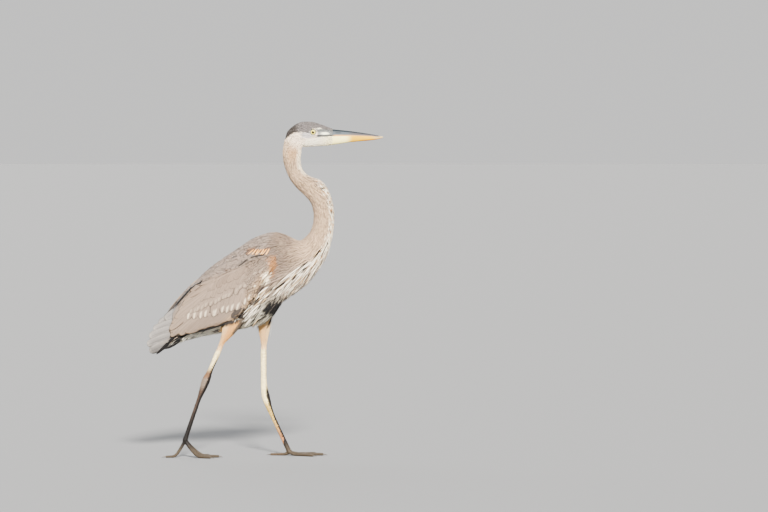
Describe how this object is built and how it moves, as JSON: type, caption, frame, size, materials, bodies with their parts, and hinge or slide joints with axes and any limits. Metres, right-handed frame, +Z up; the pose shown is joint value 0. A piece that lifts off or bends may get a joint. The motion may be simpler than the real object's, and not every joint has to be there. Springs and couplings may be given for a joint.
{
  "type": "great blue heron, life-size",
  "caption": "Life-size young great blue heron in mid stride, with a kinked neck, dagger bill, folded wings, short tail and long legs.",
  "frame": {"origin": "on the floor, below the middle of the bird's bounding box", "axes": "+X the way the bird faces and walks, +Y towards its own left side, +Z up"},
  "size_m": [0.684, 0.1566, 0.9735],
  "materials": {
    "slate_feather": "matt, laid feathers",
    "grey_feather": "matt, laid feathers",
    "buff_feather": "matt, laid feathers",
    "tan_feather": "matt, short feathers",
    "leg_skin": "scaly, dull",
    "dark_horn": "smooth horn",
    "yellow_horn": "smooth horn",
    "claw_horn": "smooth horn",
    "eye_yellow": "wet, glossy"
  },
  "bodies": {
    "root": {"head": "buff_feather", "eye_left": "eye_yellow", "eye_right": "eye_yellow", "bill_upper": "dark_horn", "bill_lower": "yellow_horn", "neck_upper": "buff_feather", "neck_middle": "buff_feather", "neck_lower": "buff_feather", "trunk": "grey_feather", "tail": "slate_feather", "wing_left": "grey_feather", "wing_right": "grey_feather", "thigh_left": "tan_feather", "shin_left": "leg_skin", "tarsus_left": "leg_skin", "foot_left": "leg_skin", "toe_middle_left": "leg_skin", "claw_middle_left": "claw_horn", "toe_outer_left": "leg_skin", "claw_outer_left": "claw_horn", "toe_inner_left": "leg_skin", "claw_inner_left": "claw_horn", "toe_hind_left": "leg_skin", "claw_hind_left": "claw_horn", "thigh_right": "tan_feather", "shin_right": "leg_skin", "tarsus_right": "leg_skin", "foot_right": "leg_skin", "toe_middle_right": "leg_skin", "claw_middle_right": "claw_horn", "toe_outer_right": "leg_skin", "claw_outer_right": "claw_horn", "toe_inner_right": "leg_skin", "claw_inner_right": "claw_horn", "toe_hind_right": "leg_skin", "claw_hind_right": "claw_horn"}
  },
  "joints": []
}
